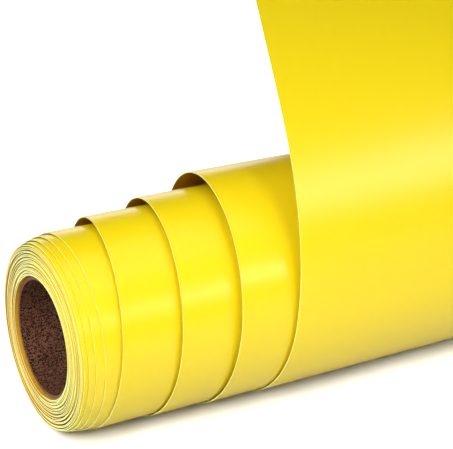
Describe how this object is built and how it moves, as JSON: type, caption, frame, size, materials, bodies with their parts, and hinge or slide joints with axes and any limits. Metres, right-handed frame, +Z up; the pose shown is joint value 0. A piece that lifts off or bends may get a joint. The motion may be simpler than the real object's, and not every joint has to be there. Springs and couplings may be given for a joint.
{
  "type": "roll of sign vinyl",
  "caption": "Roll of yellow sign vinyl on a kraft paper tube, its loose outer turns stepped sideways and its free end raised as a sheet.",
  "frame": {"origin": "centre of the tube's bore at the near end, the end whose turns step back", "axes": "+X along the tube from the near end to the far end, +Z up, -Y towards the side where the free sheet rises"},
  "size_m": [0.3844, 0.1259, 0.2082],
  "materials": {
    "vinyl_film": "smooth satin-gloss calendered film",
    "release_liner": "golden glassine release paper",
    "kraft_tube": "spiral-wound kraft board",
    "tape": "double-sided paper tape"
  },
  "bodies": {
    "roll": {"core_inner_ply": "kraft_tube", "core_middle_ply": "kraft_tube", "core_outer_ply": "kraft_tube", "start_tape": "tape", "film_pack": "vinyl_film", "liner_pack": "release_liner", "film_snug_turns": "vinyl_film", "liner_snug_turns": "release_liner", "film_turn_a_front": "vinyl_film", "liner_turn_a_front": "release_liner"},
    "turn_a_back": {"film_turn_a_back": "vinyl_film", "liner_turn_a_back": "release_liner"},
    "turn_b_front": {"film_turn_b_front": "vinyl_film", "liner_turn_b_front": "release_liner"},
    "turn_b_back": {"film_turn_b_back": "vinyl_film", "liner_turn_b_back": "release_liner"},
    "turn_c_front": {"film_turn_c_front": "vinyl_film", "liner_turn_c_front": "release_liner"},
    "turn_c_back": {"film_turn_c_back": "vinyl_film", "liner_turn_c_back": "release_liner"},
    "riser": {"film_riser": "vinyl_film", "liner_riser": "release_liner"},
    "sheet_lower": {"film_sheet_lower": "vinyl_film", "liner_sheet_lower": "release_liner"},
    "sheet_upper": {"film_sheet_upper": "vinyl_film", "liner_sheet_upper": "release_liner"}
  },
  "joints": [
    {"name": "turn_a_back_slip", "type": "slide", "parent": "roll", "child": "turn_a_back", "axis": [1, 0, 0], "range_m": [-0.0084, 0.004]},
    {"name": "turn_b_front_slip", "type": "slide", "parent": "turn_a_back", "child": "turn_b_front", "axis": [1, 0, 0], "range_m": [-0.0084, 0.004]},
    {"name": "turn_b_back_slip", "type": "slide", "parent": "turn_b_front", "child": "turn_b_back", "axis": [1, 0, 0], "range_m": [-0.0084, 0.004]},
    {"name": "turn_c_front_slip", "type": "slide", "parent": "turn_b_back", "child": "turn_c_front", "axis": [1, 0, 0], "range_m": [-0.0084, 0.004]},
    {"name": "turn_c_back_slip", "type": "slide", "parent": "turn_c_front", "child": "turn_c_back", "axis": [1, 0, 0], "range_m": [-0.0084, 0.004]},
    {"name": "riser_slip", "type": "slide", "parent": "turn_c_back", "child": "riser", "axis": [1, 0, 0], "range_m": [-0.0084, 0.004]},
    {"name": "sheet_bend", "type": "hinge", "parent": "riser", "child": "sheet_lower", "pos_m": [0.2, -0.03015, 0.02976], "axis": [-1, 0, 0], "range_deg": [-45, 45]},
    {"name": "sheet_curl", "type": "hinge", "parent": "sheet_lower", "child": "sheet_upper", "pos_m": [0.2, 0.0117, 0.10115], "axis": [-1, 0, 0], "range_deg": [-50, 50]}
  ],
  "couplings": [
    {"joint": "turn_b_front_slip", "follows": "turn_a_back_slip", "ratio": 1},
    {"joint": "turn_b_back_slip", "follows": "turn_a_back_slip", "ratio": 1},
    {"joint": "turn_c_front_slip", "follows": "turn_a_back_slip", "ratio": 1},
    {"joint": "turn_c_back_slip", "follows": "turn_a_back_slip", "ratio": 1},
    {"joint": "riser_slip", "follows": "turn_a_back_slip", "ratio": 1}
  ]
}
